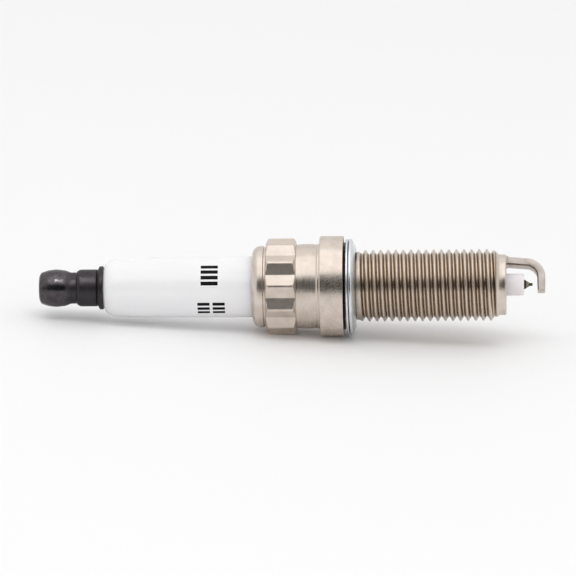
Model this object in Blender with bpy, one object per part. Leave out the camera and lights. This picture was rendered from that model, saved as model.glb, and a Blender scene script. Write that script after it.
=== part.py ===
"""Motorcycle spark plug, M12 x 1.25 with a 14 mm bi-hex drive.

The plug's axis is X. The origin is on the axis, in the shell's seat plane under the flange.
+X points to the firing end, -X to the terminal, +Z is up.
"""

import math

import bmesh
import bpy

MM = 0.001

# Driving dimensions, in millimetres. Every x is counted from the seat plane.
REACH = 26.5
SEAT_TO_TERMINAL = 50.6
THREAD_PITCH = 1.25
THREAD_CREST_R = 5.92
THREAD_ROOT_R = 5.2
THREAD_HALF_ANGLE = math.radians(30.0)
DRIVE_ACROSS_FLATS = 13.85
DRIVE_CORNER_R = 7.9
FLANGE_R = 8.25
SPARK_GAP = 0.8
SLIDE_CLEARANCE = 0.15
FIT = 0.06

# Places along the axis that more than one piece uses.
FLANGE_BACK_X = -4.2
DRIVE_X = (-13.1, -8.0)
DRIVE_CHAMFER = 0.4
LIP_CENTRE = (-13.85, 5.3)
LIP_THICKNESS = 0.75
THREAD_X = (1.45, 25.35)
THREAD_END_GAP = 0.08
RUN_IN_SLOPE = 0.42
RUN_OUT_SLOPE = 0.8
FIRST_TOP_CREST_X = 3.25
STUD_FLANGE_X = (-41.0, -40.0)
INSULATOR_TOP_X = STUD_FLANGE_X[1] + FIT
INSULATOR_NOSE_X = 29.4
SEAT_LEDGE_SUM = 15.8
SEAT_SHOULDER_SUM = 14.95
ELECTRODE_HEAD_X = 5.4
ELECTRODE_END_X = 30.2
TIP_END_X = 30.8
RESISTOR_X = (-9.0, -1.0)

# Radii that fit into each other.
POCKET_R = 5.95
BODY_BORE_R = 3.9
LEDGE_R = 3.0
OPEN_BORE_R = 3.3
RELIEF_R = 5.15
END_RING_R = 5.0
STUD_BORE_R = 1.95
FILLING_R = STUD_BORE_R - 0.07
ELECTRODE_BORE_R = 1.0
ELECTRODE_R = 0.93
ELECTRODE_NOSE_R = 0.77
CORE_R = 0.45
TIP_R = 0.25
STUB_R = 1.92
WIRE_R = 0.375
WIRE_RING_R = 5.49

# Ground electrode: a flat wire bent over the tip.
STRAP_WIDTH = 2.2
STRAP_THICKNESS = 1.3
STRAP_BEND_R = 2.55
STRAP_LEAN = math.radians(5.0)
STRAP_FOOT_R = 3.9
STRAP_PAST_AXIS = 1.18
STRAP_TURN = math.radians(34.0)

# Sides of the turned solids. Each thread column is one of the body's columns.
THREAD_SIDES = 24
ROUND_SIDES = 32
SMALL_SIDES = 16
DRIVE_POINTS = 12

LAND_HALF_ANGLE = math.radians(30.0) - math.acos(0.5 * DRIVE_ACROSS_FLATS / DRIVE_CORNER_R)


def clear_scene():
    for thing in list(bpy.data.objects):
        bpy.data.objects.remove(thing, do_unlink=True)


def material(name, colour, roughness, metallic):
    made = bpy.data.materials.new(name)
    made.use_nodes = True
    shader = made.node_tree.nodes["Principled BSDF"]
    shader.inputs["Base Color"].default_value = (*colour, 1.0)
    shader.inputs["Roughness"].default_value = roughness
    shader.inputs["Metallic"].default_value = metallic
    made.diffuse_color = (*colour, 1.0)
    return made


def add_object(name, bm, surface):
    """Turn a finished bmesh into a smooth-shaded object with one material."""
    bmesh.ops.recalc_face_normals(bm, faces=bm.faces)
    mesh = bpy.data.meshes.new(name)
    bm.to_mesh(mesh)
    bm.free()
    mesh.shade_smooth()
    mesh.set_sharp_from_angle(angle=math.radians(28.0))
    mesh.materials.append(surface)
    made = bpy.data.objects.new(name, mesh)
    bpy.context.scene.collection.objects.link(made)
    return made


def arc(centre, radius, start_deg, end_deg, steps):
    """Points on an arc in the (x, r) plane, both ends included."""
    points = []
    for i in range(steps + 1):
        angle = math.radians(start_deg + (end_deg - start_deg) * i / steps)
        points.append((centre[0] + radius * math.cos(angle), centre[1] + radius * math.sin(angle)))
    return points


def turned(name, outline, sides, surface):
    """Spin an (x, r) outline about X. An outline that starts and ends at r = 0 is a solid bar."""
    bm = bmesh.new()
    verts = [bm.verts.new((x * MM, 0.0, r * MM)) for x, r in outline]
    solid = outline[0][1] == 0.0
    for first, second in zip(verts, verts[1:]):
        bm.edges.new((first, second))
    if not solid:
        bm.edges.new((verts[-1], verts[0]))
    bmesh.ops.spin(
        bm,
        geom=bm.verts[:] + bm.edges[:],
        cent=(0.0, 0.0, 0.0),
        axis=(1.0, 0.0, 0.0),
        angle=2.0 * math.pi,
        steps=sides,
    )
    bmesh.ops.remove_doubles(bm, verts=bm.verts, dist=0.0001 * MM)
    return add_object(name, bm, surface)


def body_angles():
    """Directions round the shell: for each drive point, its land's two edges and middle, then the valley."""
    step = 2.0 * math.pi / DRIVE_POINTS
    angles = []
    for point in range(DRIVE_POINTS):
        corner = step * (point + 0.5)
        angles += [corner - LAND_HALF_ANGLE, corner, corner + LAND_HALF_ANGLE, corner + 0.5 * step]
    return angles


def drive_radius(angle):
    """Distance from the axis to the bi-hex outline, with its corners turned off."""
    step = 2.0 * math.pi / DRIVE_POINTS
    off_corner = abs((angle / step) % 1.0 - 0.5) * step
    return 0.5 * DRIVE_ACROSS_FLATS / math.cos(step - off_corner)


def ring(bm, x, radii, angles):
    """A loop of vertices at x, one radius for each angle."""
    return [
        bm.verts.new((x * MM, r * math.cos(a) * MM, r * math.sin(a) * MM))
        for r, a in zip(radii, angles)
    ]


def bridge(bm, first, second):
    """Skin two loops. The first may have twice the second's vertices, the second's lying on its odd ones."""
    count = len(second)
    halved = len(first) == 2 * count
    on_first = first[1::2] if halved else first
    between = first[2::2] + first[:1]
    for i in range(count):
        j = (i + 1) % count
        if halved:
            bm.faces.new((on_first[i], between[i], second[i]))
            bm.faces.new((between[i], on_first[j], second[j]))
            bm.faces.new((between[i], second[j], second[i]))
        else:
            bm.faces.new((on_first[i], on_first[j], second[j], second[i]))


def skin(bm, loops):
    for first, second in zip(loops, loops[1:]):
        bridge(bm, first, second)


def thread_radius(x, profile_r):
    """The thread's profile, held under the run-out cone at each end."""
    run_in = RELIEF_R + RUN_IN_SLOPE * (x - THREAD_X[0])
    run_out = END_RING_R + RUN_OUT_SLOPE * (THREAD_X[1] - x)
    return min(profile_r, run_in, run_out)


def add_thread(bm, relief_loop, end_loop, angles):
    """A right-handed helical surface between two plain loops, one column of vertices for each angle."""
    flank = (THREAD_CREST_R - THREAD_ROOT_R) * math.tan(THREAD_HALF_ANGLE)
    crest_half = THREAD_PITCH / 16.0
    profile = [
        (-crest_half, THREAD_CREST_R),
        (crest_half, THREAD_CREST_R),
        (crest_half + flank, THREAD_ROOT_R),
        (THREAD_PITCH - crest_half - flank, THREAD_ROOT_R),
    ]
    turns = math.ceil((THREAD_X[1] - THREAD_X[0]) / THREAD_PITCH) + 4
    columns = []
    for j, angle in enumerate(angles):
        phase = (angle / (2.0 * math.pi) - 0.25) * THREAD_PITCH
        column = []
        for turn in range(-3, turns):
            for offset, profile_r in profile:
                x = FIRST_TOP_CREST_X + phase + turn * THREAD_PITCH + offset
                if x < THREAD_X[0] + THREAD_END_GAP:
                    column.append(relief_loop[j])
                elif x > THREAD_X[1] - THREAD_END_GAP:
                    column.append(end_loop[j])
                else:
                    column.append(ring(bm, x, [thread_radius(x, profile_r)], [angle])[0])
        columns.append(column)
    for j, column in enumerate(columns):
        last = j + 1 == len(columns)
        neighbour = columns[0][len(profile):] if last else columns[j + 1]
        for quad in zip(column, column[1:], neighbour[1:], neighbour):
            corners = list(dict.fromkeys(quad))
            if len(corners) > 2:
                bm.faces.new(corners)


def make_shell(surface):
    """Crimped lip, bi-hex, collar, flange, thread and open end, with the stepped bore inside."""
    bm = bmesh.new()
    fine = body_angles()
    coarse = fine[1::2]

    def round_loop(x, r, angles):
        return ring(bm, x, [r] * len(angles), angles)

    def drive_loop(x, r):
        return ring(bm, x, [min(r, drive_radius(a)) for a in fine], fine)

    lip_r = POCKET_R + LIP_THICKNESS
    lip_out = arc(LIP_CENTRE, lip_r - LIP_CENTRE[1], 180.0, 90.0, 4)
    lip_in = arc(LIP_CENTRE, POCKET_R - LIP_CENTRE[1], 90.0, 180.0, 2)
    groove_r = lip_r - 0.2
    groove = [
        (-13.5, lip_r),
        (-13.4, groove_r),
        (DRIVE_X[0], groove_r),
    ]
    valley_r = drive_radius(0.0)
    drive = [
        (DRIVE_X[0], valley_r),
        (DRIVE_X[0] + DRIVE_CHAMFER, DRIVE_CORNER_R),
        (DRIVE_X[1] - DRIVE_CHAMFER, DRIVE_CORNER_R),
        (DRIVE_X[1], valley_r),
    ]
    collar = [
        (DRIVE_X[1], 6.88),
        (-7.1, 6.96),
        (-5.6, 6.96),
        (-4.8, 6.88),
        (-4.7, 7.02),
        (FLANGE_BACK_X, 7.02),
    ]
    flange = [
        (FLANGE_BACK_X, FLANGE_R - 0.3),
        (FLANGE_BACK_X + 0.3, FLANGE_R),
        (-0.25, FLANGE_R),
        (0.0, FLANGE_R - 0.25),
    ]
    outside = [round_loop(x, r, fine) for x, r in lip_out + groove]
    outside += [drive_loop(x, r) for x, r in drive]
    outside += [round_loop(x, r, fine) for x, r in collar + flange]
    seat_edge = round_loop(0.0, RELIEF_R, coarse)
    relief_end = round_loop(THREAD_X[0], RELIEF_R, coarse)
    thread_end = round_loop(THREAD_X[1], END_RING_R, coarse)
    bore = [
        (REACH - 0.25, END_RING_R),
        (REACH, END_RING_R - 0.25),
        (REACH, OPEN_BORE_R + 0.1),
        (REACH - 0.1, OPEN_BORE_R),
        (14.6, OPEN_BORE_R),
        (14.0, LEDGE_R),
        (SEAT_LEDGE_SUM - LEDGE_R, LEDGE_R),
        (SEAT_LEDGE_SUM - BODY_BORE_R, BODY_BORE_R),
        (-0.7, BODY_BORE_R),
        (-2.6, POCKET_R),
        *lip_in,
        (LIP_CENTRE[0] - 0.75, 5.14),
        (LIP_CENTRE[0] - 1.3, 5.14),
    ]
    inside = [round_loop(x, r, coarse) for x, r in bore]
    skin(bm, outside + [seat_edge, relief_end])
    add_thread(bm, relief_end, thread_end, coarse)
    skin(bm, [thread_end] + inside)
    bridge(bm, outside[0], inside[-1])
    add_object("shell", bm, surface)


def make_gasket(surface):
    """A folded steel washer: the slot in its rim is where the two leaves meet."""
    left = SLIDE_CLEARANCE
    right = left + 1.6
    slot = (left + 0.45, left + 0.57)
    outline = [
        (left, 5.7),
        (left, 7.6),
        (left + 0.12, 7.82),
        (slot[0], 7.88),
        (slot[0], 6.8),
        (slot[1], 6.8),
        (slot[1], 7.8),
        (left + 0.75, 7.9),
        (left + 0.95, 7.8),
        (left + 1.25, 7.25),
        (left + 1.5, 6.75),
        (right, 6.6),
        (right, 6.0),
        (left + 1.3, 5.6),
        (left + 0.4, 5.5),
    ]
    turned("gasket", outline, ROUND_SIDES, surface)


def strap_path():
    """Centre points of the strap in the (x, r) plane, each with its outward normal and its swelling."""
    tip_side_x = TIP_END_X + SPARK_GAP
    centre_x = tip_side_x + 0.5 * STRAP_THICKNESS - STRAP_BEND_R
    bend_start_x = centre_x + STRAP_BEND_R * math.sin(STRAP_LEAN)
    foot_x = REACH + FIT
    bend_start_r = STRAP_FOOT_R - (bend_start_x - foot_x) * math.tan(STRAP_LEAN)
    centre_r = bend_start_r - STRAP_BEND_R * math.cos(STRAP_LEAN)
    lean_deg = math.degrees(STRAP_LEAN)
    outward = (math.sin(STRAP_LEAN), math.cos(STRAP_LEAN))
    weld = 0.25
    weld_swell = 1.14
    path = [
        ((foot_x, STRAP_FOOT_R), (0.0, 1.0), weld_swell),
        ((foot_x + weld, STRAP_FOOT_R - weld * math.tan(STRAP_LEAN)), outward, 1.0),
    ]
    for x, r in arc((centre_x, centre_r), STRAP_BEND_R, 90.0 - lean_deg, 0.0, 8):
        path.append(((x, r), ((x - centre_x) / STRAP_BEND_R, (r - centre_r) / STRAP_BEND_R), 1.0))
    path.append(((centre_x + STRAP_BEND_R, -STRAP_PAST_AXIS), (1.0, 0.0), 1.0))
    return path


def make_ground_electrode(surface):
    """A rounded flat section carried along the bend, wider at its welded foot, then turned about the axis."""
    corner = 0.22
    half_w = 0.5 * STRAP_WIDTH
    half_t = 0.5 * STRAP_THICKNESS
    section = [
        (half_w - corner, half_t),
        (half_w, half_t - corner),
        (half_w, -half_t + corner),
        (half_w - corner, -half_t),
        (-half_w + corner, -half_t),
        (-half_w, -half_t + corner),
        (-half_w, half_t - corner),
        (-half_w + corner, half_t),
    ]
    bm = bmesh.new()
    loops = []
    for (x, r), (out_x, out_r), swell in strap_path():
        loop = []
        for across, out in section:
            side = across * swell
            along = x + out * swell * out_x
            radial = r + out * swell * out_r
            y = radial * math.sin(STRAP_TURN) + side * math.cos(STRAP_TURN)
            z = radial * math.cos(STRAP_TURN) - side * math.sin(STRAP_TURN)
            loop.append(bm.verts.new((along * MM, y * MM, z * MM)))
        loops.append(loop)
    skin(bm, loops)
    bm.faces.new(loops[0])
    bm.faces.new(loops[-1])
    add_object("ground_electrode", bm, surface)


def make_insulator(surface):
    """Alumina body: terminal shoulder, long barrel, big collar under the crimp, seat and nose."""
    shoulder_x = -37.1
    top_shoulder = []
    steps = 5
    for i in range(steps + 1):
        angle = 0.5 * math.pi * i / steps
        top_shoulder.append((shoulder_x - 2.7 * math.cos(angle), 3.5 + 1.3 * math.sin(angle)))
    outline = [
        (INSULATOR_TOP_X + 0.25, STUD_BORE_R),
        (INSULATOR_TOP_X, STUD_BORE_R + 0.25),
        (INSULATOR_TOP_X, 3.35),
        *top_shoulder,
        (-32.5, 5.0),
        (-15.0, 5.03),
        (-10.45, 5.03),
        (-10.05, 5.8),
        (-2.8, 5.8),
        (-0.95, 3.75),
        (SEAT_SHOULDER_SUM - 3.75, 3.75),
        (SEAT_SHOULDER_SUM - 2.75, 2.75),
        *arc((INSULATOR_NOSE_X - 0.5, 1.37), 0.5, 90.0, 0.0, 3),
        (INSULATOR_NOSE_X, ELECTRODE_BORE_R + 0.05),
        (INSULATOR_NOSE_X - 0.05, ELECTRODE_BORE_R),
        (7.2, ELECTRODE_BORE_R),
        (6.5, STUD_BORE_R),
    ]
    turned("insulator", outline, ROUND_SIDES, surface)


def make_terminal_cap(surface):
    """Nut with a snap bulb, a neck and a base, and a blind bore for the stud's stub."""
    bore_r = STUB_R + 0.1
    base_x = STUD_FLANGE_X[0] - FIT
    outline = [
        (-SEAT_TO_TERMINAL, 0.0),
        (-SEAT_TO_TERMINAL, 1.75),
        (-50.5, 2.2),
        (-50.25, 2.53),
        (-49.8, 2.75),
        (-49.1, 2.94),
        (-48.5, 3.05),
        (-47.8, 3.1),
        (-47.0, 3.03),
        (-46.2, 2.88),
        (-45.5, 2.65),
        (-45.0, 2.59),
        (-44.4, 2.58),
        (-44.15, 2.87),
        (-43.7, 3.05),
        (base_x - 0.1, 3.05),
        (base_x, 2.95),
        (base_x, bore_r),
        (-47.6, bore_r),
        (-48.4, 0.0),
    ]
    turned("terminal_cap", outline, ROUND_SIDES, surface)


def make_terminal_stud(surface):
    """Threaded stub, flange that sits on the insulator, long stem and ringed end held by the upper seal."""
    flange_left, flange_right = STUD_FLANGE_X
    end_x = -11.6
    grip_r = 1.42
    groove_r = 1.22
    grip = []
    for groove_x in (-14.8, -13.8, -12.8):
        grip += [
            (groove_x - 0.1, grip_r),
            (groove_x, groove_r),
            (groove_x + 0.3, groove_r),
            (groove_x + 0.4, grip_r),
        ]
    outline = [
        (-47.4, 0.0),
        (-47.4, STUB_R - 0.35),
        (-47.05, STUB_R),
        (flange_left, STUB_R),
        (flange_left, 2.95),
        (-40.7, 3.3),
        (-40.58, 3.52),
        (-40.48, 3.58),
        (-40.1, 3.58),
        (flange_right, 3.48),
        (flange_right, FILLING_R - 0.03),
        (-16.0, FILLING_R - 0.03),
        (-15.6, grip_r),
        *grip,
        (end_x - 0.1, grip_r),
        (end_x, grip_r - 0.1),
        (end_x, 0.0),
    ]
    turned("terminal_stud", outline, ROUND_SIDES, surface)


def make_bore_filling(seal_surface, resistor_surface):
    """Upper seal round the stud's end, resistor, and lower seal round the electrode's head."""
    upper_x = (-14.2, RESISTOR_X[0] - FIT)
    lower_x = (RESISTOR_X[1] + FIT, 6.4)
    cup_x = -11.5
    head_cup_x = ELECTRODE_HEAD_X - FIT
    upper = [
        (cup_x, 0.0),
        (cup_x, 1.5),
        (upper_x[0], 1.5),
        (upper_x[0], FILLING_R),
        (upper_x[1], FILLING_R),
        (upper_x[1], 0.0),
    ]
    resistor = [
        (RESISTOR_X[0], 0.0),
        (RESISTOR_X[0], FILLING_R),
        (RESISTOR_X[1], FILLING_R),
        (RESISTOR_X[1], 0.0),
    ]
    lower = [
        (lower_x[0], 0.0),
        (lower_x[0], FILLING_R),
        (lower_x[1], FILLING_R),
        (lower_x[1], 1.68),
        (head_cup_x, 1.68),
        (head_cup_x, 0.0),
    ]
    turned("upper_glass_seal", upper, SMALL_SIDES * 2, seal_surface)
    turned("resistor", resistor, SMALL_SIDES * 2, resistor_surface)
    turned("lower_glass_seal", lower, SMALL_SIDES * 2, seal_surface)


def make_centre_electrode(nickel, copper, iridium):
    """Nickel alloy rod with a head, its copper core, and the fine tip in the rod's end."""
    core_end_x = 26.0
    pocket_x = ELECTRODE_END_X - 0.5
    rod = [
        (core_end_x + FIT, 0.0),
        (core_end_x + FIT, CORE_R + 0.07),
        (ELECTRODE_HEAD_X, CORE_R + 0.07),
        (ELECTRODE_HEAD_X, 1.6),
        (6.62, 1.6),
        (7.1, ELECTRODE_R),
        (28.5, ELECTRODE_R),
        (28.65, ELECTRODE_NOSE_R),
        (29.6, ELECTRODE_NOSE_R),
        (ELECTRODE_END_X, 0.4),
        (ELECTRODE_END_X, TIP_R + 0.06),
        (pocket_x, TIP_R + 0.06),
        (pocket_x, 0.0),
    ]
    core = [
        (ELECTRODE_HEAD_X, 0.0),
        (ELECTRODE_HEAD_X, CORE_R),
        (core_end_x - 0.6, CORE_R),
        (core_end_x, 0.2),
        (core_end_x, 0.0),
    ]
    tip = [
        (pocket_x + FIT, 0.0),
        (pocket_x + FIT, TIP_R),
        (TIP_END_X, TIP_R),
        (TIP_END_X, 0.0),
    ]
    turned("centre_electrode", rod, SMALL_SIDES, nickel)
    turned("electrode_core", core, SMALL_SIDES, copper)
    turned("iridium_tip", tip, SMALL_SIDES, iridium)


def make_packing(steel, talc):
    """Washer under the insulator's seat, and the two wire rings with talc between them under the lip."""
    washer_top = SEAT_SHOULDER_SUM + 0.14
    washer_bottom = SEAT_LEDGE_SUM - 0.14
    washer = [
        (washer_top - 3.1, 3.1),
        (washer_top - 3.78, 3.78),
        (washer_bottom - 3.78, 3.78),
        (washer_bottom - 3.1, 3.1),
    ]
    upper_x = LIP_CENTRE[0]
    lower_x = -10.97
    turned("packing_washer", washer, THREAD_SIDES, steel)
    for name, x in (("upper_wire_ring", upper_x), ("lower_wire_ring", lower_x)):
        turned(name, arc((x, WIRE_RING_R), WIRE_R, 22.5, 337.5, 7), THREAD_SIDES, steel)
    powder = [
        (upper_x + WIRE_R + FIT, 5.12),
        (upper_x + WIRE_R + FIT, 5.86),
        (lower_x - WIRE_R - FIT, 5.86),
        (lower_x - WIRE_R - FIT, 5.12),
    ]
    turned("talc_ring", powder, THREAD_SIDES, talc)


def main():
    clear_scene()
    nickel_plate = material("nickel_plate", (0.62, 0.54, 0.48), 0.28, 1.0)
    zinc_plate = material("zinc_plate", (0.72, 0.75, 0.77), 0.3, 1.0)
    nickel_alloy = material("nickel_alloy", (0.6, 0.55, 0.5), 0.4, 1.0)
    glazed_alumina = material("glazed_alumina", (0.86, 0.85, 0.86), 0.12, 0.0)
    dark_steel = material("dark_steel", (0.16, 0.155, 0.16), 0.32, 1.0)
    plain_steel = material("plain_steel", (0.55, 0.55, 0.56), 0.4, 1.0)
    seal_glass = material("seal_glass", (0.12, 0.1, 0.09), 0.35, 0.0)
    resistor_body = material("resistor_body", (0.2, 0.2, 0.21), 0.6, 0.0)
    copper = material("copper", (0.72, 0.36, 0.2), 0.3, 1.0)
    iridium = material("iridium", (0.5, 0.48, 0.44), 0.3, 1.0)
    talc = material("talc", (0.85, 0.84, 0.8), 0.9, 0.0)

    make_shell(nickel_plate)
    make_gasket(zinc_plate)
    make_ground_electrode(nickel_alloy)
    make_insulator(glazed_alumina)
    make_terminal_cap(dark_steel)
    make_terminal_stud(dark_steel)
    make_bore_filling(seal_glass, resistor_body)
    make_centre_electrode(nickel_alloy, copper, iridium)
    make_packing(plain_steel, talc)


main()
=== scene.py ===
"""Looks for the spark plug: turned meshes, procedural finishes, a floor, lights and a camera.

The plug's axis is X, with the origin in the seat plane under the flange. +X points to the firing
end and +Z is up. Outlines are in millimetres, as (x, r) or (x, r, fillet), and become metres when
a mesh is made.
"""

import math

import bmesh
import bpy
from mathutils import Euler, Matrix, Vector


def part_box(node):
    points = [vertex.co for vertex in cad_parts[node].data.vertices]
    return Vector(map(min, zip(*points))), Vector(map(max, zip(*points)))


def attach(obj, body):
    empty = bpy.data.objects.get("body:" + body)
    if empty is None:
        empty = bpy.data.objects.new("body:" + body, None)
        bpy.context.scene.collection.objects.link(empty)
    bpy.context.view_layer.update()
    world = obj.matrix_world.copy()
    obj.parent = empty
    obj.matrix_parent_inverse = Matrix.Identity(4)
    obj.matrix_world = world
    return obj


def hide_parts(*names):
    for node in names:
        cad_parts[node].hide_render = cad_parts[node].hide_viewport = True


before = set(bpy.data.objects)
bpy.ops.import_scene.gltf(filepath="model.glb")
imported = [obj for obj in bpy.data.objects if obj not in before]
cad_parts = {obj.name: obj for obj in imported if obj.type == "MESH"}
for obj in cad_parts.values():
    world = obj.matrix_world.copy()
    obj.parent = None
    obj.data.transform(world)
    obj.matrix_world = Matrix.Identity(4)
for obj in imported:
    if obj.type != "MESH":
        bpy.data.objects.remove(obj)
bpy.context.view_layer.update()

MM = 0.001
PLUG = "plug"


def radius_of(node):
    """A turned CAD node's largest radius, in millimetres."""
    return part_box(node)[1].z / MM


def span_of(node):
    """Where a CAD node starts and ends along the plug's axis, in millimetres."""
    low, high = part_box(node)
    return low.x / MM, high.x / MM


# Sizes that come from the frame.
LIP_END_X, REACH = span_of("shell")
FLANGE_R = radius_of("shell")
GASKET_X = span_of("gasket")
CAP_X = span_of("terminal_cap")
CAP_R = radius_of("terminal_cap")
STUD_R = radius_of("terminal_stud")
INSULATOR_X = span_of("insulator")
ELECTRODE_X = span_of("centre_electrode")
TIP_X = span_of("iridium_tip")
TIP_R = radius_of("iridium_tip")

# Shell.
LIP_R = 6.7
DRIVE_X = (-13.1, -8.0)
DRIVE_ACROSS_FLATS = 13.85
DRIVE_CORNER_R = 7.9
DRIVE_POINTS = 12
FLANGE_BACK_X = -4.2
RIM_END_X = -0.3
RELIEF_R = 5.15
END_RING_R = 5.0

# Thread. It lies between two plain loops, and its own points keep THREAD_END_GAP clear of them.
THREAD_PITCH = 1.25
THREAD_CREST_R = 5.92
THREAD_ROOT_R = 5.2
THREAD_X = (1.45, 25.35)
THREAD_END_GAP = 0.08
FIRST_TOP_CREST_X = 3.36
FULL_THREAD_X = (2.4, THREAD_X[1] - 0.6)

# What limits the thread's radius at its ends. Each run-in line is (start x, start r, slope). The
# groove's floor is a plain land up to LAND_END_X and falls away after it.
RUN_IN = ((THREAD_X[0], RELIEF_R, 1.6), (1.75, 5.57, 0.24))
RUN_OUT_SLOPE = 0.8
LAND_R = 5.64
LAND_END_X = 2.15
LAND_SLOPE = 0.6

# Ground electrode.
STRAP_WIDTH = 2.2
STRAP_THICKNESS = 1.3
STRAP_TURN = math.radians(34.0)

# Insulator, with its groups of printed bars: where each group lies along the axis, its range
# round the barrel in millimetres of arc from +Y towards +Z, and how many bars fill it. BAR_SHARE
# is how much of its pitch a bar takes, before and after its soft edge.
BARREL_R = 5.03
BARE_NOSE_X = (10.8, 11.2)
INK_GROUPS = (
    ((-23.7, -20.9), (10.6, 14.6), 4),
    ((-24.3, -22.3), (-14.4, -11.6), 3),
    ((-21.8, -19.8), (-14.4, -11.6), 3),
)
BAR_SHARE = (0.62, 0.66)

# Columns round a piece.
ROUND_SIDES = 160
SMALL_SIDES = 64

# Finishes. Most of Blender's noise lies in NOISE_SPAN, which is mapped to colour and roughness.
NOISE_SPAN = (0.3, 0.7)
# Radii on the thread's flanks that are painted dark, as shade in the grooves.
SHADED_FLANK_R = (5.32, 5.48)

# The room. Angles are in degrees, elevations above the floor on the camera's side, and lengths in
# metres. The card is a dark oval that gloss sees round the camera's place.
FLOOR_HALF = (0.3, 0.36)
FLOOR_TILT = 4.0
FLOOR_X = -0.002
FLOOR_GAP = 0.03 * MM
DOME_EDGE = (30.0, 48.0)
DOME_LEVEL = 1.06
HORIZON_LEVEL = 0.85
CARD_ELEVATION = 12.0
CARD_HALF_ANGLE = 27.0
CARD_EDGE = 5.0
CARD_LEVEL = 0.05
CARD_WIDENING = 1.8
FILL_LEVEL = 0.95
BACKDROP_LEVEL = 0.97
SOFTBOX = {"power": 1.25, "size": (1.0, 0.95), "elevation": 76.0, "distance": 0.8}
KEY = {"power": 1.35, "size": (0.8, 0.3), "elevation": 68.0, "distance": 0.8}
GLINT = {
    "power": 0.0036,
    "size": (0.018, 0.16),
    "elevation": 64.0,
    "distance": 0.25,
    "along": -0.051,
    "spread": 5.0,
}


# ---------------------------------------------------------------- meshes


def soft_min(a, b, width):
    """The smaller of two values, with the step between them rounded over the given width."""
    near = max(width - abs(a - b), 0.0) / width
    return min(a, b) - 0.25 * near * near * width


def soft_max(a, b, width):
    return -soft_min(-a, -b, width)


def rounded(points, steps=4):
    """An outline's points, with each corner that has a fillet turned into a short curve."""
    outline = []
    count = len(points)
    for i, point in enumerate(points):
        corner = Vector(point[:2])
        if len(point) == 2:
            outline.append(tuple(corner))
            continue
        before = Vector(points[i - 1][:2]) - corner
        after = Vector(points[(i + 1) % count][:2]) - corner
        reach = point[2] / math.tan(0.5 * before.angle(after))
        reach = min(reach, 0.49 * before.length, 0.49 * after.length)
        start = corner + reach * before.normalized()
        end = corner + reach * after.normalized()
        for step in range(steps + 1):
            t = step / steps
            outline.append(tuple(start * (1 - t) ** 2 + corner * (2 * t * (1 - t)) + end * t**2))
    return outline


def arc(centre, radius, start_deg, end_deg, steps):
    """Points on an arc in the (x, r) plane, both ends included."""
    points = []
    for i in range(steps + 1):
        angle = math.radians(start_deg + (end_deg - start_deg) * i / steps)
        x = centre[0] + radius * math.cos(angle)
        r = centre[1] + radius * math.sin(angle)
        points.append((x, r))
    return points


def even_angles(sides):
    return [2.0 * math.pi * i / sides for i in range(sides)]


def add_loop(verts, x, radii, angles):
    """Add a loop of points round the axis and return their indices."""
    start = len(verts)
    verts += [(x, r * math.cos(a), r * math.sin(a)) for r, a in zip(radii, angles)]
    return list(range(start, len(verts)))


def bridge(faces, first, second):
    """Skin two loops with the same number of points. A loop of one point is a tip."""
    count = max(len(first), len(second))
    for i in range(count):
        j = (i + 1) % count
        quad = (
            first[i % len(first)],
            first[j % len(first)],
            second[j % len(second)],
            second[i % len(second)],
        )
        faces.append(tuple(dict.fromkeys(quad)))


def skin(faces, loops):
    for first, second in zip(loops, loops[1:]):
        bridge(faces, first, second)


def zip_loops(faces, first, first_angles, second, second_angles):
    """Skin two loops with different numbers of points. Both start at angle 0."""
    full = 2.0 * math.pi
    first_angles = [*first_angles, full]
    second_angles = [*second_angles, full]
    i = j = 0
    while i < len(first) or j < len(second):
        a = first[i % len(first)]
        b = second[j % len(second)]
        if j == len(second) or (i < len(first) and first_angles[i + 1] <= second_angles[j + 1]):
            faces.append((a, first[(i + 1) % len(first)], b))
            i += 1
        else:
            faces.append((a, second[(j + 1) % len(second)], b))
            j += 1


def piece(name, verts, faces, surface, slot, replaced, body=PLUG, sharp_deg=60.0):
    """Make a closed, smooth-shaded object from points in millimetres, and put it on its body."""
    mesh = bpy.data.meshes.new(name)
    mesh.from_pydata([(x * MM, y * MM, z * MM) for x, y, z in verts], [], faces)
    bm = bmesh.new()
    bm.from_mesh(mesh)
    bmesh.ops.recalc_face_normals(bm, faces=bm.faces)
    bm.to_mesh(mesh)
    bm.free()
    mesh.shade_smooth()
    mesh.set_sharp_from_angle(angle=math.radians(sharp_deg))
    mesh.materials.append(surface)
    made = bpy.data.objects.new(name, mesh)
    bpy.context.scene.collection.objects.link(made)
    weighted = made.modifiers.new("even_normals", "WEIGHTED_NORMAL")
    weighted.keep_sharp = True
    weighted.weight = 60
    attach(made, body)
    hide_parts(replaced)
    return made


def turned(name, outline, sides, surface, slot, replaced, **more):
    """Spin an outline about the axis. One that starts and ends at r = 0 is a solid bar."""
    verts = []
    faces = []
    angles = even_angles(sides)
    loops = [add_loop(verts, x, [r] * (sides if r > 0.0 else 1), angles) for x, r in outline]
    skin(faces, loops)
    if outline[0][1] > 0.0:
        bridge(faces, loops[-1], loops[0])
    return piece(name, verts, faces, surface, slot, replaced, **more)


# ---------------------------------------------------------------- shell


def drive_angles():
    """Columns round the shell, close together at each drive point's land and at each valley."""
    half_sector = math.pi / DRIVE_POINTS
    offsets_deg = (14.6, 14.1, 13.3, 11.5, 9.0, 6.5, 4.3, 2.8, 1.9, 1.45, 1.15, 0.85, 0.45)
    around = [-180.0 / DRIVE_POINTS, *(-d for d in offsets_deg), 0.0, *reversed(offsets_deg)]
    return [
        (2 * point + 1) * half_sector + math.radians(offset)
        for point in range(DRIVE_POINTS)
        for offset in around
    ]


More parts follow.
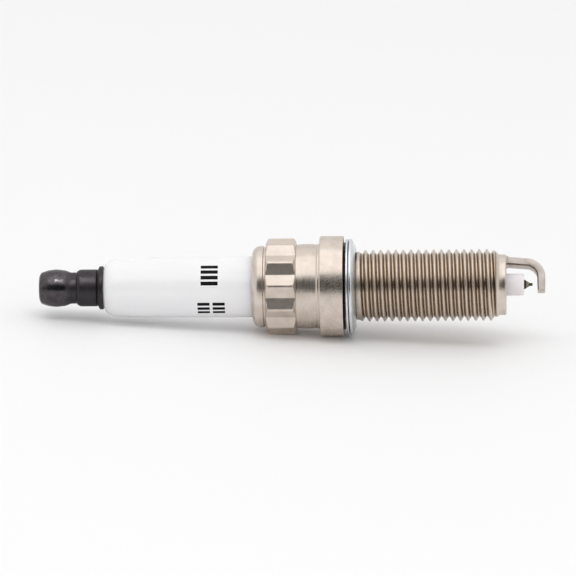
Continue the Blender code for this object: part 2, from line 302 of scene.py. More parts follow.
def drive_radius(angle):
    """Distance from the axis to two crossed hexagons' outline, its valleys slightly filled."""
    sector = 2.0 * math.pi / DRIVE_POINTS
    from_valley = angle - sector * round(angle / sector)
    across = 0.5 * DRIVE_ACROSS_FLATS
    one = across / math.cos(0.5 * sector + from_valley)
    other = across / math.cos(0.5 * sector - from_valley)
    return soft_max(one, other, 0.07)


def thread_profile():
    """One pitch of a 60 degree thread about a crest, as (offset, radius), with rounded turns."""
    sharp_height = 0.5 * THREAD_PITCH / math.tan(math.radians(30.0))
    nose = 0.5 * (sharp_height - (THREAD_CREST_R - THREAD_ROOT_R))
    crest = arc((0.0, THREAD_CREST_R - nose), nose, 150.0, 30.0, 8)
    left = arc((-0.5 * THREAD_PITCH, THREAD_ROOT_R + nose), nose, -90.0, -30.0, 4)
    right = arc((0.5 * THREAD_PITCH, THREAD_ROOT_R + nose), nose, 210.0, 270.0, 4)
    return left + crest + right[:-1]


def thread_radius(x, profile_r):
    """The profile's radius, held above the land at its start and under the run-in and run-out."""
    land = min(LAND_R, LAND_R - LAND_SLOPE * (x - LAND_END_X))
    run_in = min(start_r + slope * (x - start_x) for start_x, start_r, slope in RUN_IN)
    run_out = END_RING_R + RUN_OUT_SLOPE * (THREAD_X[1] - x)
    limit = soft_min(run_in, run_out, 0.05)
    return soft_min(soft_max(profile_r, land, 0.05), limit, 0.08)


def add_thread(verts, faces, relief_loop, end_loop, angles):
    """A right-handed helix between two plain loops, with one column of points for each angle.

    The last column meets the first a whole turn further on.
    """
    profile = thread_profile()
    spare_turns = 3
    turns = math.ceil((THREAD_X[1] - THREAD_X[0]) / THREAD_PITCH) + spare_turns + 1
    columns = []
    for j, angle in enumerate(angles):
        phase = (angle / (2.0 * math.pi) - 0.25) * THREAD_PITCH
        column = []
        for turn in range(-spare_turns, turns):
            for offset, profile_r in profile:
                x = FIRST_TOP_CREST_X + phase + turn * THREAD_PITCH + offset
                if x < THREAD_X[0] + THREAD_END_GAP:
                    column.append(relief_loop[j])
                elif x > THREAD_X[1] - THREAD_END_GAP:
                    column.append(end_loop[j])
                else:
                    column += add_loop(verts, x, [thread_radius(x, profile_r)], [angle])
        columns.append(column)
    for j, column in enumerate(columns):
        last = j + 1 == len(columns)
        neighbour = columns[0][len(profile):] if last else columns[j + 1]
        for quad in zip(column, column[1:], neighbour[1:], neighbour):
            corners = tuple(dict.fromkeys(quad))
            if len(corners) > 2:
                faces.append(corners)


def shell_outside():
    """Crimped lip, drive, collar and flange, as turned from bar before the drive is formed."""
    lip_radius = 1.4
    lip_centre = (LIP_END_X + lip_radius - 0.1, LIP_R - lip_radius)
    groove_r = LIP_R - 0.2
    chamfer_r = 0.5 * DRIVE_ACROSS_FLATS
    rim_step_r = 7.2
    back, front = DRIVE_X
    return rounded(
        [
            *arc(lip_centre, lip_radius, 180.0, 90.0, 12),
            (-13.5, LIP_R, 0.06),
            (-13.38, groove_r, 0.05),
            (back, groove_r, 0.05),
            (back, chamfer_r, 0.12),
            (back + 0.15, chamfer_r + 0.45, 0.3),
            (back + 0.42, DRIVE_CORNER_R, 0.3),
            *[(x, DRIVE_CORNER_R) for x in (-12.2, -11.0, -10.0, -8.9)],
            (front - 0.42, DRIVE_CORNER_R, 0.3),
            (front - 0.15, chamfer_r + 0.45, 0.3),
            (front, chamfer_r, 0.12),
            (front, 6.84, 0.05),
            (-7.6, 6.9, 0.3),
            (-7.1, 6.97, 0.4),
            (-5.5, 6.98, 0.4),
            (-4.75, 6.86, 0.15),
            (-4.5, 7.02, 0.1),
            (FLANGE_BACK_X, 7.02, 0.1),
            (FLANGE_BACK_X, FLANGE_R, 0.28),
            (RIM_END_X, FLANGE_R, 0.06),
            (RIM_END_X, rim_step_r, 0.03),
            (0.0, rim_step_r, 0.03),
            (0.0, 6.9),
        ],
        steps=5,
    )


def shell_inside():
    """From the thread's end round the open mouth and up the stepped bore to the crimped lip."""
    mouth_r = 3.3
    ledge_r = 3.0
    bore_r = 3.9
    pocket_r = 5.95
    lip_bore_r = 5.14
    lip_centre = (LIP_END_X + 1.3, 5.3)
    return rounded(
        [
            (REACH, END_RING_R, 0.28),
            (REACH, mouth_r, 0.1),
            (14.6, mouth_r, 0.2),
            (14.0, ledge_r, 0.1),
            (12.8, ledge_r, 0.1),
            (11.9, bore_r, 0.1),
            (-0.7, bore_r, 0.1),
            (-2.6, pocket_r, 0.2),
            *arc(lip_centre, pocket_r - lip_centre[1], 90.0, 180.0, 6),
            (LIP_END_X + 0.5, lip_bore_r, 0.1),
            (LIP_END_X, lip_bore_r, 0.08),
        ]
    )


def make_shell(surface):
    verts = []
    faces = []
    fine = drive_angles()
    even = even_angles(ROUND_SIDES)

    def plain_loop(x, r):
        return add_loop(verts, x, [r] * len(even), even)

    outside = []
    for x, r in shell_outside():
        in_drive = DRIVE_X[0] - 0.01 < x < DRIVE_X[1] + 0.01
        radii = [soft_min(r, drive_radius(a), 0.05) if in_drive else r for a in fine]
        outside.append(add_loop(verts, x, radii, fine))
    relief_steps = ((0.0, 0.2), (0.06, 0.06), (0.2, 0.0), (THREAD_X[0], 0.0))
    relief = [plain_loop(x, RELIEF_R + extra) for x, extra in relief_steps]
    inside = [plain_loop(THREAD_X[1], END_RING_R)]
    inside += [plain_loop(x, r) for x, r in shell_inside()]

    skin(faces, outside)
    zip_loops(faces, outside[-1], fine, relief[0], even)
    skin(faces, relief)
    add_thread(verts, faces, relief[-1], inside[0], even)
    skin(faces, inside)
    zip_loops(faces, outside[0], fine, inside[-1], even)
    piece("steel_shell", verts, faces, surface, "nickel_plated_shell", "shell", sharp_deg=50.0)


# ---------------------------------------------------------------- pieces on the shell


def make_gasket(surface):
    """Two folded leaves of sheet steel. The ring hangs on the relief and leans a little."""
    left, right = GASKET_X
    back = left + 0.06
    slot_r = 6.7
    outline = rounded(
        [
            (back, 5.9, 0.1),
            (back, 7.86, 0.12),
            (left + 0.42, 7.9, 0.1),
            (left + 0.48, slot_r, 0.02),
            (left + 0.54, slot_r, 0.02),
            (left + 0.6, 7.86, 0.12),
            (left + 0.95, 7.9, 0.3),
            (left + 1.3, 7.3, 0.4),
            (right, 6.6, 0.2),
            (right, 6.2, 0.1),
            (left + 1.3, 6.05, 0.1),
            (left + 0.4, 5.75, 0.2),
        ],
        steps=5,
    )
    made = turned(
        "folded_gasket",
        outline,
        ROUND_SIDES,
        surface,
        "gasket_steel",
        "gasket",
        body="loose_gasket",
    )
    centre = Matrix.Translation((0.5 * (left + right) * MM, 0.0, 0.0))
    lean = Euler((0.0, math.radians(-0.6), math.radians(-0.4))).to_matrix().to_4x4()
    drop = Matrix.Translation((0.0, 0.0, -0.12 * MM))
    made.data.transform(drop @ centre @ lean @ centre.inverted())


def strap_path():
    """The strap's centre points in the (x, r) plane, each with its outward normal and swelling."""
    bend_r = 2.55
    lean = math.radians(5.0)
    foot_r = 3.9
    past_axis = 1.18
    foot_x = REACH - 0.05
    outer_x = span_of("ground_electrode")[1]
    centre_x = outer_x - 0.5 * STRAP_THICKNESS - bend_r
    bend_start_x = centre_x + bend_r * math.sin(lean)
    centre_r = foot_r - (bend_start_x - foot_x) * math.tan(lean) - bend_r * math.cos(lean)
    outward = (math.sin(lean), math.cos(lean))
    path = [((foot_x, foot_r), (0.0, 1.0), 1.22)]
    for along, swell in ((0.06, 1.21), (0.16, 1.15), (0.28, 1.08), (0.42, 1.02), (0.6, 1.0)):
        path.append(((foot_x + along, foot_r - along * math.tan(lean)), outward, swell))
    for x, r in arc((centre_x, centre_r), bend_r, 90.0 - math.degrees(lean), 0.0, 24):
        path.append(((x, r), ((x - centre_x) / bend_r, (r - centre_r) / bend_r), 1.0))
    end_x = centre_x + bend_r
    straight = centre_r + past_axis
    for part, swell in ((0.25, 0.99), (0.5, 0.97), (0.75, 0.95), (1.0, 0.93)):
        path.append(((end_x, centre_r - part * straight), (1.0, 0.0), swell))
    return path


def strap_section():
    """The wire's section as (side, out) points, and the indices that bound the small notch along
    one edge, which is painted dark as shade.
    """
    half_w = 0.5 * STRAP_WIDTH
    half_t = 0.5 * STRAP_THICKNESS
    edge_r = 0.2
    crown = 0.03
    side = half_w - edge_r
    out = half_t - edge_r

    def crowned_face(sign):
        """A slightly domed face: the outer one for 1.0, the inner one for -1.0."""
        return [
            (sign * across, sign * (out + (edge_r + crown * (1.0 - (across / half_w) ** 2))))
            for across in (0.6, 0.3, 0.0, -0.3, -0.6)
        ]

    section = arc((side, out), edge_r, 0.0, 90.0, 5)
    section += crowned_face(1.0)
    section += arc((-side, out), edge_r, 90.0, 180.0, 5)
    # The notch along this edge, whose faces are painted dark as shade.
    notch_start = len(section)
    section += [
        (-half_w, 0.24 - half_t),
        (-half_w + 0.02, 0.17 - half_t),
        (-half_w + 0.09, 0.13 - half_t),
        (-half_w + 0.1, 0.05 - half_t),
        (-half_w + 0.16, -half_t),
    ]
    notch_end = len(section) - 1
    section += crowned_face(-1.0)
    section += arc((side, -out), edge_r, 270.0, 360.0, 5)
    return section, notch_start, notch_end


def make_ground_electrode(surface, edge_shade):
    """A flat wire with rounded edges, crowned faces and a notch along one edge, bent over the tip.
    The notch's faces are painted dark as the shade along that edge.
    """
    section, notch_start, notch_end = strap_section()
    sin_turn, cos_turn = math.sin(STRAP_TURN), math.cos(STRAP_TURN)
    verts = []
    faces = []
    loops = []
    for (x, r), (out_x, out_r), swell in strap_path():
        start = len(verts)
        for side, out in section:
            along = x + out * swell * out_x
            radial = r + out * swell * out_r
            across = side * swell
            y = across * cos_turn + radial * sin_turn
            z = radial * cos_turn - across * sin_turn
            verts.append((along, y, z))
        loops.append(list(range(start, len(verts))))
    skin(faces, loops)
    side_faces = len(faces)
    faces.append(tuple(loops[0]))
    faces.append(tuple(loops[-1]))
    made = piece(
        "ground_strap", verts, faces, surface, "nickel_alloy", "ground_electrode", sharp_deg=50.0
    )
    # The notch's faces take the dark finish: painted shade along the edge.
    made.data.materials.append(edge_shade)
    for face in made.data.polygons[:side_faces]:
        if notch_start < face.index % len(section) < notch_end:
            face.material_index = 1


def make_insulator(surface):
    """Glazed body from the terminal's shoulder to the firing nose, with the bore through it."""
    top_x, nose_x = INSULATOR_X
    collar_r = 5.8
    foot_r = 3.75
    bore_r = 1.0
    stud_bore_r = 1.95
    shoulder_x = -37.1
    shoulder_length = shoulder_x - top_x - 0.14
    steps = 16
    shoulder = []
    for i in range(steps + 1):
        angle = 0.5 * math.pi * i / steps
        x = shoulder_x - shoulder_length * math.cos(angle)
        shoulder.append((x, 3.5 + 1.3 * math.sin(angle)))
    outline = rounded(
        [
            (top_x, stud_bore_r, 0.2),
            (top_x, 3.4, 0.08),
            *shoulder,
            (-34.8, 4.93),
            (-32.5, 4.99),
            (-24.0, BARREL_R),
            (-15.0, BARREL_R),
            (-10.45, BARREL_R, 0.1),
            (-10.05, collar_r, 0.3),
            (-2.8, collar_r, 0.3),
            (-0.95, foot_r, 0.3),
            (BARE_NOSE_X[1], foot_r, 0.3),
            (12.2, 2.75, 0.3),
            (25.6, 1.84, 0.5),
            (nose_x, 1.8, 0.35),
            (nose_x, bore_r, 0.05),
            (7.2, bore_r, 0.2),
            (6.5, stud_bore_r, 0.2),
        ],
        steps=6,
    )
    turned("ceramic_insulator", outline, ROUND_SIDES, surface, "glazed_alumina", "insulator")


def make_terminal(surface):
    """The snap terminal and, under it, the stud with its flange on the insulator."""
    end_x, base_x = CAP_X
    base_r = 3.05
    cap_bore_r = 2.02
    cap = rounded(
        [
            (end_x, 0.0),
            (end_x, 2.05, 0.8),
            (end_x + 0.3, 2.55, 0.5),
            (end_x + 0.8, 2.74, 1.0),
            (-49.0, 2.98, 2.0),
            (-47.8, CAP_R + 0.02, 2.5),
            (-46.3, 2.95, 2.5),
            (-45.4, 2.58, 1.0),
            (-44.42, 2.57, 0.1),
            (-44.3, 2.8, 0.2),
            (-43.8, base_r, 0.6),
            (base_x, base_r, 0.1),
            (base_x, cap_bore_r, 0.1),
            (-47.6, cap_bore_r, 0.1),
            (-48.4, 0.0),
        ],
        steps=6,
    )
    turned("snap_terminal", cap, ROUND_SIDES, surface, "terminal_metal", "terminal_cap")

    flange_x = (-41.0, -40.0)
    stub_x, foot_x = -47.4, -11.6
    stub_r = 1.92
    shank_r = 1.85
    grip_r, groove_r = 1.42, 1.22
    grip = []
    for groove_x in (-14.8, -13.8, -12.8):
        grip += [
            (groove_x - 0.1, grip_r, 0.03),
            (groove_x, groove_r, 0.03),
            (groove_x + 0.3, groove_r, 0.03),
            (groove_x + 0.4, grip_r, 0.03),
        ]
    stud = rounded(
        [
            (stub_x, 0.0),
            (stub_x, 1.57, 0.05),
            (-47.05, stub_r, 0.1),
            (flange_x[0], stub_r, 0.05),
            (flange_x[0], 2.98, 0.05),
            (-40.78, 3.2, 0.15),
            (-40.66, STUD_R - 0.04, 0.1),
            (-40.4, STUD_R, 0.05),
            (-40.06, STUD_R, 0.06),
            (flange_x[1], 3.45, 0.03),
            (flange_x[1], shank_r, 0.05),
            (-16.0, shank_r, 0.1),
            (-15.6, grip_r, 0.1),
            *grip,
            (foot_x, grip_r, 0.1),
            (foot_x, 0.0),
        ]
    )
    turned("threaded_stud", stud, ROUND_SIDES, surface, "terminal_metal", "terminal_stud")


def make_firing_end(nickel, iridium):
    """The centre electrode with its tapered end, and the fine tip welded into it."""
    head_x, end_x = ELECTRODE_X
    core_end_x = 26.06
    core_r = 0.52
    head_r = 1.6
    rod_r = 0.93
    nose_r = 0.77
    pocket_x = end_x - 0.5
    pocket_r = TIP_R + 0.06
    rod = rounded(
        [
            (core_end_x, 0.0),
            (core_end_x, core_r, 0.05),
            (head_x, core_r, 0.05),
            (head_x, head_r, 0.15),
            (6.62, head_r, 0.2),
            (7.1, rod_r, 0.15),
            (28.5, rod_r, 0.05),
            (28.65, nose_r, 0.05),
            (29.55, nose_r, 0.2),
            (end_x - 0.14, 0.44, 0.15),
            (end_x, 0.4, 0.04),
            (end_x, pocket_r, 0.02),
            (pocket_x, pocket_r, 0.02),
            (pocket_x, 0.0),
        ]
    )
    turned("electrode_rod", rod, SMALL_SIDES, nickel, "nickel_alloy", "centre_electrode")
    bead_x = end_x + 0.04
    tip = rounded(
        [
            (TIP_X[0], 0.0),
            (TIP_X[0], TIP_R, 0.03),
            (bead_x - 0.03, TIP_R, 0.02),
            (bead_x, TIP_R + 0.05, 0.03),
            (bead_x + 0.08, TIP_R + 0.03, 0.03),
            (bead_x + 0.12, TIP_R, 0.02),
            (TIP_X[1], TIP_R, 0.03),
            (TIP_X[1], 0.0),
        ]
    )
    turned("iridium_wire", tip, SMALL_SIDES, iridium, "iridium", "iridium_tip")


# ---------------------------------------------------------------- finishes


class Finish:
    """A Principled material and short calls for the nodes that feed it."""

    def __init__(self, name, colour, roughness, metallic=1.0):
        self.material = bpy.data.materials.new(name)
        self.material.use_nodes = True
        self.tree = self.material.node_tree
        self.shader = self.tree.nodes["Principled BSDF"]
        self.set(Base_Color=(*colour, 1.0), Metallic=metallic, Roughness=roughness)
        self.place = self.tree.nodes.new("ShaderNodeTexCoord").outputs["Object"]
        split = self.node("ShaderNodeSeparateXYZ", Vector=self.place)
        self.x = split.outputs["X"]
        across = self.vector("MULTIPLY", self.place, (0.0, 1.0, 1.0)).outputs[0]
        self.r = self.vector("LENGTH", across).outputs["Value"]

    def set(self, **values):
        for name, value in values.items():
            self.shader.inputs[name.replace("_", " ")].default_value = value

    def node(self, kind, **values):
        """Make a node. Lower-case names are its settings, and _0 or capitalised ones inputs."""
        made = self.tree.nodes.new(kind)
        for name, value in values.items():
            if name[0].islower():
                setattr(made, name, value)
                continue
            socket = made.inputs[int(name[1:]) if name[0] == "_" else name]
            if isinstance(value, bpy.types.NodeSocket):
                self.tree.links.new(value, socket)
            else:
                socket.default_value = value
        return made

    def vector(self, operation, first, second=(0.0, 0.0, 0.0)):
        return self.node("ShaderNodeVectorMath", operation=operation, _0=first, _1=second)

    def noise(self, x_per_mm, yz_per_mm, detail=2.0):
        """Noise with its own number of features per millimetre along and across the axis."""
        scale = (x_per_mm / MM, yz_per_mm / MM, yz_per_mm / MM)
        stretched = self.vector("MULTIPLY", self.place, scale).outputs[0]
        made = self.node("ShaderNodeTexNoise", Vector=stretched, Scale=1.0, Detail=detail)
        return made.outputs["Fac"]

    def between(self, value, low, high, to_low=0.0, to_high=1.0):
        """Map a value from one range to another, held at the ends."""
        made = self.node("ShaderNodeMapRange", _0=value, _1=low, _2=high, _3=to_low, _4=to_high)
        return made.outputs[0]

    def spread(self, noise, low, high):
        """Stretch a noise's usual span over the given range."""
        return self.between(noise, *NOISE_SPAN, low, high)

    def math(self, operation, first, second):
        return self.node("ShaderNodeMath", operation=operation, _0=first, _1=second).outputs[0]

    def product(self, first, *others):
        for other in others:
            first = self.math("MULTIPLY", first, other)
        return first

    def band(self, value, low, high, edge):
        """1 between low and high, falling to 0 over the edge's width."""
        rise = self.between(value, low - edge, low)
        fall = self.between(value, high, high + edge, 1.0, 0.0)
        return self.product(rise, fall)

    def band_mm(self, place, low, high, edge):
        """A band of places along or off the axis, given in millimetres."""
        return self.band(place, low * MM, high * MM, edge * MM)

    def step_mm(self, place, low, high, to_low=0.0, to_high=1.0):
        """A step between two places along or off the axis, given in millimetres."""
        return self.between(place, low * MM, high * MM, to_low, to_high)

    def mix(self, amount, first, colour):
        """Mix a fixed colour over what a socket gives."""
        second = (*colour, 1.0)
        made = self.node("ShaderNodeMix", data_type="RGBA", _0=amount, _6=first, _7=second)
        return made.outputs[2]

    def mottle(self, noise, dark, light):
        """Two colours in patches."""
        made = self.node("ShaderNodeValToRGB", _0=noise)
        for element, position, colour in zip(made.color_ramp.elements, NOISE_SPAN, (dark, light)):
            element.position = position
            element.color = (*colour, 1.0)
        return made.outputs[0]

    def bump(self, *layers):
        """Stack (height, depth in millimetres) layers onto the surface."""
        normal = None
        for height, depth in layers:
            made = self.node("ShaderNodeBump", Strength=1.0, Distance=depth * MM, Height=height)
            if normal is not None:
                self.tree.links.new(normal, made.inputs["Normal"])
            normal = made.outputs[0]
        self.link(Normal=normal)

    def link(self, **outputs):
        for name, output in outputs.items():
            self.tree.links.new(output, self.shader.inputs[name.replace("_", " ")])


def nickel_plate():
    """Warm nickel plating: lathe lines, a fine grain on drive and flange, and painted shade: dark
    thread flanks, and near black in the gap between the flange and the gasket.
    """
    finish = Finish("nickel_plate", (0.66, 0.57, 0.49), 0.26)
    x, r = finish.x, finish.r
    cloud = finish.noise(0.5, 0.5, 3.0)
    tint = finish.mottle(cloud, (0.61, 0.53, 0.46), (0.71, 0.635, 0.57))

    in_thread = finish.band_mm(x, *FULL_THREAD_X, 0.2)
    root = finish.step_mm(r, THREAD_ROOT_R + 0.1, THREAD_CREST_R - 0.1, 0.8, 0.15)
    tint = finish.mix(finish.product(in_thread, root), tint, (0.62, 0.49, 0.37))
    past_gasket = finish.band_mm(x, THREAD_X[0] + 0.1, FULL_THREAD_X[1], 0.2)
    tint = finish.mix(finish.product(past_gasket, 0.08), tint, (0.38, 0.29, 0.23))
    # Painted shade: a near-black line on each thread flank, where the groove lies in shade.
    flank_shade = finish.product(in_thread, finish.band_mm(r, *SHADED_FLANK_R, 0.06), 0.85)
    tint = finish.mix(flank_shade, tint, (0.07, 0.045, 0.028))
    # Painted shade: near black on the flange's rim face, step and seat face, in the narrow gap the
    # gasket covers.
    gap_shade_x = finish.band_mm(x, RIM_END_X - 0.02, 0.2, 0.02)
    gap_shade_r = finish.step_mm(r, FLANGE_R - 0.12, FLANGE_R - 0.06, 1.0, 0.0)
    tint = finish.mix(finish.product(gap_shade_x, gap_shade_r), tint, (0.012, 0.010, 0.010))

    in_drive = finish.band_mm(x, DRIVE_X[0] + 0.1, DRIVE_X[1] - 0.1, 0.1)
    past_back = finish.step_mm(x, FLANGE_BACK_X - 0.1, FLANGE_BACK_X, 0.0, 0.8)
    on_flange = finish.product(past_back, finish.step_mm(x, 0.0, 0.1, 1.0, 0.0))
    grained = finish.math("MAXIMUM", in_drive, on_flange)
    grain = finish.noise(4.5, 4.5, 3.0)
    lines = finish.noise(9.0, 0.12, 3.0)
    mixed = finish.node("ShaderNodeMix", data_type="FLOAT", _0=grained, _2=lines, _3=grain)
    texture = mixed.outputs[0]
    polish = finish.spread(texture, 0.22, 0.36)
    polish = finish.math("ADD", polish, finish.product(in_drive, 0.07))
    finish.link(Base_Color=tint, Roughness=polish)
    finish.bump((texture, 0.006), (cloud, 0.02))
    return finish.material


def zinc_plate():
    finish = Finish("zinc_plate", (0.72, 0.76, 0.78), 0.3)
    cloud = finish.noise(0.8, 0.8, 3.0)
    lines = finish.noise(7.0, 0.15)
    tint = finish.mottle(cloud, (0.66, 0.71, 0.73), (0.80, 0.83, 0.84))
    finish.link(Base_Color=tint, Roughness=finish.spread(lines, 0.22, 0.38))
    finish.bump((lines, 0.004), (cloud, 0.02))
    return finish.material


def strap_alloy():
    """Drawn nickel alloy with a fine grain and a slight heat tint."""
    finish = Finish("strap_alloy", (0.62, 0.55, 0.48), 0.36)
    cloud = finish.noise(0.9, 0.9, 3.0)
    grain = finish.noise(3.0, 8.0, 3.0)
    tint = finish.mottle(cloud, (0.49, 0.435, 0.395), (0.61, 0.56, 0.525))
    finish.link(Base_Color=tint, Roughness=finish.spread(grain, 0.36, 0.5))
    finish.bump((grain, 0.008), (cloud, 0.02))
    return finish.material


def painted_edge_shade():
    """Painted shade: a rough, dark finish for the notch along the wire's edge, where it stands for
    the shade there.
    """
    finish = Finish("painted_edge_shade", (0.2, 0.15, 0.11), 0.5)
    cloud = finish.noise(2.0, 2.0, 3.0)
    finish.link(Base_Color=finish.mottle(cloud, (0.13, 0.10, 0.075), (0.28, 0.21, 0.16)))
    finish.bump((cloud, 0.01))
    return finish.material


def rod_alloy():
    """Nickel alloy, nearly black where it leaves the nose and lighter on the taper."""
    finish = Finish("rod_alloy", (0.20, 0.17, 0.12), 0.34)
    cloud = finish.noise(1.5, 1.5, 3.0)
    lines = finish.noise(12.0, 0.5)
    tint = finish.mottle(cloud, (0.20, 0.17, 0.12), (0.42, 0.37, 0.28))
    collar = finish.step_mm(finish.x, 29.68, 29.8, 0.95, 0.0)
    tint = finish.mix(collar, tint, (0.02, 0.017, 0.014))
    finish.link(Base_Color=tint, Roughness=finish.spread(lines, 0.28, 0.42))
    finish.bump((lines, 0.004))
    return finish.material


def iridium_metal():
    finish = Finish("iridium_metal", (0.2, 0.18, 0.14), 0.3)
    cloud = finish.noise(4.0, 4.0)
    finish.link(Base_Color=finish.mottle(cloud, (0.05, 0.042, 0.03), (0.14, 0.12, 0.09)))
    finish.bump((cloud, 0.004))
    return finish.material


def glazed_alumina():
    """White alumina under a clear glaze, bare on the firing nose, with ink bars on the barrel."""
    finish = Finish("glazed_alumina", (0.88, 0.87, 0.88), 0.5, metallic=0.0)
    finish.set(Specular_IOR_Level=0.0, Coat_Roughness=0.08)
    finish.set(Subsurface_Radius=(1.0, 1.0, 1.0), Subsurface_Scale=4.5 * MM)
    cloud = finish.noise(0.15, 0.15, 3.0)
    body = finish.mottle(cloud, (0.79, 0.785, 0.80), (0.82, 0.815, 0.825))
    bare = finish.step_mm(finish.x, *BARE_NOSE_X)
    body = finish.mix(bare, body, (0.86, 0.81, 0.835))
    ink = ink_bars(finish)
    body = finish.mix(ink, body, (0.010, 0.010, 0.012))
    unglazed = finish.math("MAXIMUM", ink, bare)
    finish.link(
        Base_Color=body,
        Subsurface_Weight=finish.between(bare, 0.0, 1.0, 1.0, 0.2),
        Coat_Weight=finish.between(unglazed, 0.0, 1.0, 1.0, 0.1),
    )
    finish.bump((finish.noise(0.5, 0.5), 0.004))
    return finish.material


def ink_bars(finish):
    """Groups of plain printed bars, which lie along the barrel side by side."""
    split = finish.node("ShaderNodeSeparateXYZ", Vector=finish.place)
    angle = finish.math("ARCTAN2", split.outputs["Z"], split.outputs["Y"])
    arc_mm = finish.product(angle, BARREL_R)
    total = None
    for x_range, arc_range, bar_count in INK_GROUPS:
        pitch = (arc_range[1] - arc_range[0]) / bar_count
        # Whole pitches are added so that the remainder is taken of a positive number.
        shifted = finish.math("ADD", finish.math("SUBTRACT", arc_mm, arc_range[0]), 40.0 * pitch)
        into_pitch = finish.math("MODULO", shifted, pitch)
        low, high = (share * pitch for share in BAR_SHARE)
        bar = finish.between(into_pitch, low, high, 1.0, 0.0)
        along = finish.band_mm(finish.x, *x_range, 0.02)
        around = finish.band(arc_mm, *arc_range, 0.02)
        ink = finish.product(along, around, bar)
        total = ink if total is None else finish.math("MAXIMUM", total, ink)
    return total


def dark_terminal():
    """Dark grey plated steel, glossier on the bulb than on the base."""
    finish = Finish("dark_terminal", (0.08, 0.075, 0.08), 0.3)
    cloud = finish.noise(1.2, 1.2, 3.0)
    grain = finish.noise(1.5, 4.0, 3.0)
    tint = finish.mottle(cloud, (0.066, 0.059, 0.065), (0.102, 0.092, 0.099))
    base = finish.step_mm(finish.x, -46.4, -45.2)
    tint = finish.mix(finish.product(base, 0.65), tint, (0.036, 0.034, 0.037))
    polish = finish.math("ADD", finish.product(base, 0.2), finish.spread(grain, 0.2, 0.3))
    finish.link(Base_Color=tint, Roughness=polish)
    finish.bump((grain, 0.003), (cloud, 0.02))
    return finish.material


def hidden_finish(name, colour, roughness, metallic):
    """For the pieces sealed inside: mottled colour and a light grain."""
    finish = Finish(name, colour, roughness, metallic)
    cloud = finish.noise(2.0, 2.0, 3.0)
    dark = tuple(0.8 * c for c in colour)
    finish.link(Base_Color=finish.mottle(cloud, dark, colour))
    finish.bump((finish.noise(8.0, 8.0), 0.006))
    return finish.material


def finish_inner_pieces():
    """The CAD's own solids stay for what is sealed inside; each gets its finish."""
    glass = hidden_finish("seal_glass", (0.12, 0.10, 0.09), 0.35, 0.0)
    steel = hidden_finish("packing_steel", (0.55, 0.55, 0.56), 0.4, 1.0)
    finishes = {
        "upper_glass_seal": glass,
        "lower_glass_seal": glass,
        "resistor": hidden_finish("resistor_body", (0.2, 0.2, 0.21), 0.6, 0.0),
        "electrode_core": hidden_finish("copper_core", (0.72, 0.36, 0.20), 0.3, 1.0),
        "packing_washer": steel,
        "lower_wire_ring": steel,
        "upper_wire_ring": steel,
        "talc_ring": hidden_finish("talc", (0.85, 0.84, 0.80), 0.9, 0.0),
    }
    for node, surface in finishes.items():
        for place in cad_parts[node].material_slots:
            place.material = surface


# ---------------------------------------------------------------- floor, light and camera


def make_floor():
    """A pale board, tilted about Y because the plug lies on its flange and its firing end."""
    bm = bmesh.new()
    bmesh.ops.create_grid(bm, x_segments=1, y_segments=1, size=1.0)
    mesh = bpy.data.meshes.new("floor")
    bm.to_mesh(mesh)
    bm.free()
    paint = bpy.data.materials.new("floor_paint")
    paint.use_nodes = True
    shader = paint.node_tree.nodes["Principled BSDF"]
    shader.inputs["Base Color"].default_value = (0.88, 0.88, 0.885, 1.0)
    shader.inputs["Roughness"].default_value = 0.6
    shader.inputs["Specular IOR Level"].default_value = 0.2
    mesh.materials.append(paint)
    floor = bpy.data.objects.new("floor", mesh)
    bpy.context.scene.collection.objects.link(floor)
    floor.scale = (*FLOOR_HALF, 1.0)
    floor.rotation_euler = (0.0, math.radians(FLOOR_TILT), 0.0)
    floor.location = (FLOOR_X, 0.0, -(FLANGE_R * MM + FLOOR_GAP))


def area_light(name, power, size, elevation, distance, along=0.0, spread=180.0):
    """A soft light on the camera's side that faces the plug's axis, at a place along it."""
    light = bpy.data.lights.new(name, "AREA")
    light.shape = "RECTANGLE"
    light.size, light.size_y = size
    light.energy = power
    light.spread = math.radians(spread)
    made = bpy.data.objects.new(name, light)
    bpy.context.scene.collection.objects.link(made)
    away = Vector(polar(elevation, distance))
    made.location = away + Vector((along, 0.0, 0.0))
    made.rotation_euler = (-away).to_track_quat("-Z", "Y").to_euler()
    made.visible_camera = False
    return made


def polar(elevation_deg, distance):
    """A point in the plane x = 0. Elevation 0 is towards -Y, 90 is overhead and 180 is behind."""
    angle = math.radians(elevation_deg)
    return (0.0, -distance * math.cos(angle), distance * math.sin(angle))


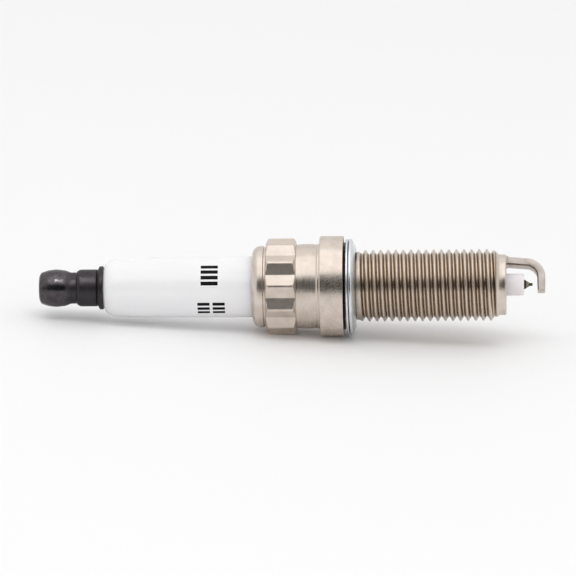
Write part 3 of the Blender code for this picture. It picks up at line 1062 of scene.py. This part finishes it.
def make_world():
    """A pale room: gloss sees a dome with a dark card in it, matte surfaces see an even fill, and
    the camera sees a plain backdrop."""
    world = bpy.data.worlds.new("studio")
    bpy.context.scene.world = world
    world.use_nodes = True
    nodes = world.node_tree.nodes
    links = world.node_tree.links

    def feed(kind, operation, *values):
        """Make a node and fill its first sockets in order."""
        made = nodes.new(kind)
        if operation:
            made.operation = operation
        for socket, value in zip(made.inputs, values):
            if isinstance(value, bpy.types.NodeSocket):
                links.new(value, socket)
            else:
                socket.default_value = value
        return made

    def ease(value, low_deg, high_deg, to_low, to_high):
        """A smooth step between two angles, for a value that is the sine of one."""
        low, high = (math.sin(math.radians(angle)) for angle in (low_deg, high_deg))
        made = feed("ShaderNodeMapRange", None, value, low, high, to_low, to_high)
        made.interpolation_type = "SMOOTHSTEP"
        return made.outputs[0]

    def mixed(amount, first, second):
        vector_amount = (0.0, 0.0, 0.0)
        return feed("ShaderNodeMix", None, amount, vector_amount, first, second).outputs[0]

    direction = nodes.new("ShaderNodeTexCoord").outputs["Generated"]
    ray = nodes.new("ShaderNodeLightPath").outputs
    height = feed("ShaderNodeSeparateXYZ", None, direction).outputs["Z"]
    dome = ease(height, *DOME_EDGE, HORIZON_LEVEL, DOME_LEVEL)
    squeeze = (1.0 / CARD_WIDENING, 1.0, 1.0)
    narrowed = feed("ShaderNodeVectorMath", "MULTIPLY", direction, squeeze)
    narrowed = feed("ShaderNodeVectorMath", "NORMALIZE", narrowed.outputs[0])
    card_middle = polar(CARD_ELEVATION, 1.0)
    facing = feed("ShaderNodeVectorMath", "DOT_PRODUCT", narrowed.outputs[0], card_middle)
    rim = 90.0 - CARD_HALF_ANGLE
    towards_card = facing.outputs["Value"]
    covered = ease(towards_card, rim - CARD_EDGE, rim + CARD_EDGE, 0.0, 1.0 - CARD_LEVEL)
    uncovered = feed("ShaderNodeMath", "SUBTRACT", 1.0, covered).outputs[0]
    gloss = feed("ShaderNodeMath", "MULTIPLY", dome, uncovered).outputs[0]
    # 1 for a ray that has met a matte surface, and 0 for any other.
    matte = feed("ShaderNodeMath", "MINIMUM", ray["Diffuse Depth"], 1.0).outputs[0]
    lit = mixed(matte, gloss, FILL_LEVEL)
    shown = mixed(ray["Is Camera Ray"], lit, BACKDROP_LEVEL)
    background = nodes["Background"]
    background.inputs["Color"].default_value = (1.0, 0.995, 0.99, 1.0)
    links.new(shown, background.inputs["Strength"])


def make_lights():
    """A broad light and a narrow beam on the terminal for gloss, and a key for matte surfaces."""
    area_light("softbox", **SOFTBOX).visible_diffuse = False
    area_light("glint", **GLINT).visible_diffuse = False
    area_light("key", **KEY).visible_glossy = False


def make_camera():
    """A long lens at the picture's angle, 15 degrees above the floor and a little to the right."""
    azimuth = math.radians(2.4)
    elevation = math.radians(15.0)
    roll = math.radians(1.07)
    view_width = 95.05 * MM
    lens = 400.0
    target = Vector((-9.53 * MM, 0.0, -0.28 * MM))
    camera = bpy.data.cameras.new("camera")
    camera.lens = lens
    camera.clip_start = 0.01
    made = bpy.data.objects.new("camera", camera)
    bpy.context.scene.collection.objects.link(made)
    back = Vector(
        (
            math.sin(azimuth) * math.cos(elevation),
            -math.cos(azimuth) * math.cos(elevation),
            math.sin(elevation),
        )
    )
    turn = (-back).to_track_quat("-Z", "Y").to_matrix().to_4x4()
    distance = view_width * lens / camera.sensor_width
    place = Matrix.Translation(target + back * distance)
    made.matrix_world = place @ turn @ Matrix.Rotation(-roll, 4, "Z")
    bpy.context.scene.camera = made


def main():
    make_camera()
    make_shell(nickel_plate())
    make_gasket(zinc_plate())
    make_ground_electrode(strap_alloy(), painted_edge_shade())
    make_insulator(glazed_alumina())
    make_terminal(dark_terminal())
    make_firing_end(rod_alloy(), iridium_metal())
    finish_inner_pieces()
    make_floor()
    make_world()
    make_lights()
    bpy.context.scene.view_settings.view_transform = "Standard"


main()
